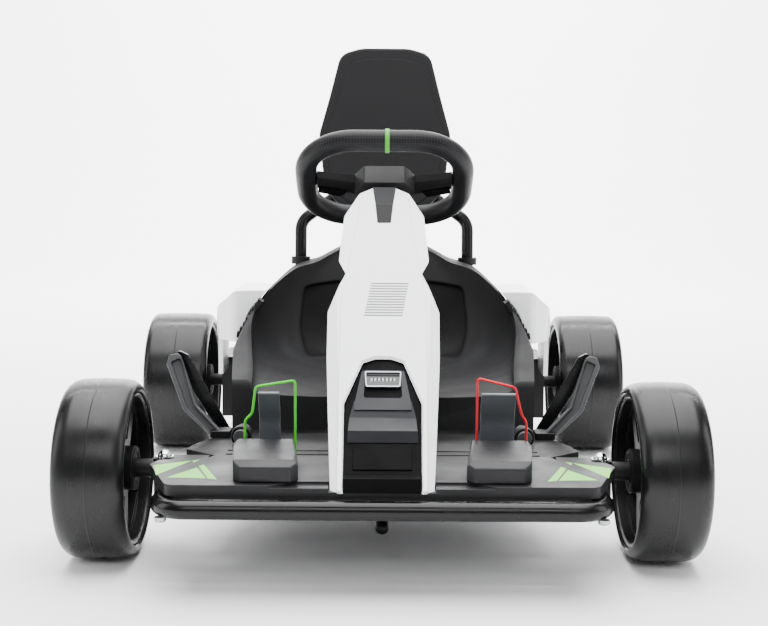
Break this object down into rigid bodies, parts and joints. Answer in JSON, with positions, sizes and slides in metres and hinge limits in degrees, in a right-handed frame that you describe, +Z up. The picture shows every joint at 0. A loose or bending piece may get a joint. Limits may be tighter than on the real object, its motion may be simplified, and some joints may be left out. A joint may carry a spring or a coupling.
{
  "type": "electric drift kart",
  "caption": "Low electric drift kart for a child with a bucket seat on a tube frame, a faired steering column, foot pedals with wire guards and smooth drift wheels that steer and roll.",
  "frame": {"origin": "on the ground under the middle of the kart's length and width", "axes": "+X to the driver's left, +Y to the rear, +Z up"},
  "size_m": [0.794, 0.992, 0.6821],
  "materials": {
    "frame_black": "satin powder coat",
    "tube_gloss": "gloss powder coat",
    "steel": "zinc plated",
    "tyre": "smooth glossy moulding",
    "rim_black": "satin moulding",
    "shell_white": "satin white moulding",
    "plastic_dark": "fine grain",
    "plastic_grey": "fine grain",
    "seat_black": "fine grain",
    "guard_green": "gloss paint",
    "guard_red": "gloss paint",
    "lamp": "clear lens",
    "grip": "fine pattern",
    "band_green": "smooth"
  },
  "bodies": {
    "chassis": {"main_frame": "frame_black", "front_bumper": "tube_gloss", "front_axle_beam": "frame_black", "kingpins": "steel", "rear_axle_beam": "frame_black", "drive_motors": "steel", "rear_bumper": "tube_gloss", "battery_box": "plastic_dark", "front_deck": "plastic_dark", "floor_pan": "plastic_dark", "pedal_boxes": "plastic_dark", "throttle_pedal": "plastic_grey", "brake_pedal": "plastic_grey", "throttle_guard": "guard_green", "brake_guard": "guard_red", "nose_fairing": "shell_white", "nose_insert": "plastic_dark", "headlamp": "lamp", "column_channel": "plastic_grey", "steering_column": "frame_black", "seat_bucket": "seat_black", "seat_hoop": "tube_gloss", "hoop_collars": "tube_gloss", "seat_back": "seat_black", "side_pod_left": "shell_white", "side_pod_right": "shell_white", "side_guard_left": "plastic_grey", "side_guard_right": "plastic_grey", "guard_struts": "tube_gloss"},
    "steering": {"steering_shaft": "steel", "steering_rim": "grip", "rim_band": "band_green", "steering_hub": "plastic_dark"},
    "knuckle_left": {"knuckle_left": "frame_black"},
    "knuckle_right": {"knuckle_right": "frame_black"},
    "track_rod": {"track_rod": "frame_black"},
    "front_wheel_left": {"front_tyre_left": "tyre", "front_rim_left": "rim_black"},
    "front_wheel_right": {"front_tyre_right": "tyre", "front_rim_right": "rim_black"},
    "rear_wheel_left": {"rear_tyre_left": "tyre", "rear_rim_left": "rim_black"},
    "rear_wheel_right": {"rear_tyre_right": "tyre", "rear_rim_right": "rim_black"}
  },
  "joints": [
    {"name": "steering", "type": "hinge", "parent": "chassis", "child": "steering", "pos_m": [0, -0.062, 0.463], "axis": [0, 0.5878, 0.809], "range_deg": [-40, 40]},
    {"name": "kingpin_left", "type": "hinge", "parent": "chassis", "child": "knuckle_left", "pos_m": [0.267, -0.32, 0.097], "axis": [0, 0, 1], "range_deg": [-18, 18]},
    {"name": "kingpin_right", "type": "hinge", "parent": "chassis", "child": "knuckle_right", "pos_m": [-0.267, -0.32, 0.097], "axis": [0, 0, 1], "range_deg": [-18, 18]},
    {"name": "track_rod_pin", "type": "hinge", "parent": "knuckle_left", "child": "track_rod", "pos_m": [0.267, -0.26, 0.07], "axis": [0, 0, 1], "range_deg": [-18, 18]},
    {"name": "front_left_spin", "type": "hinge", "parent": "knuckle_left", "child": "front_wheel_left", "pos_m": [0.3405, -0.32, 0.11], "axis": [1, 0, 0], "continuous": true},
    {"name": "front_right_spin", "type": "hinge", "parent": "knuckle_right", "child": "front_wheel_right", "pos_m": [-0.3405, -0.32, 0.11], "axis": [1, 0, 0], "continuous": true},
    {"name": "rear_left_spin", "type": "hinge", "parent": "chassis", "child": "rear_wheel_left", "pos_m": [0.345, 0.32, 0.115], "axis": [1, 0, 0], "continuous": true},
    {"name": "rear_right_spin", "type": "hinge", "parent": "chassis", "child": "rear_wheel_right", "pos_m": [-0.345, 0.32, 0.115], "axis": [1, 0, 0], "continuous": true}
  ],
  "couplings": [
    {"joint": "kingpin_left", "follows": "steering", "ratio": 0.45},
    {"joint": "kingpin_right", "follows": "steering", "ratio": 0.45},
    {"joint": "track_rod_pin", "follows": "steering", "ratio": -0.45}
  ]
}
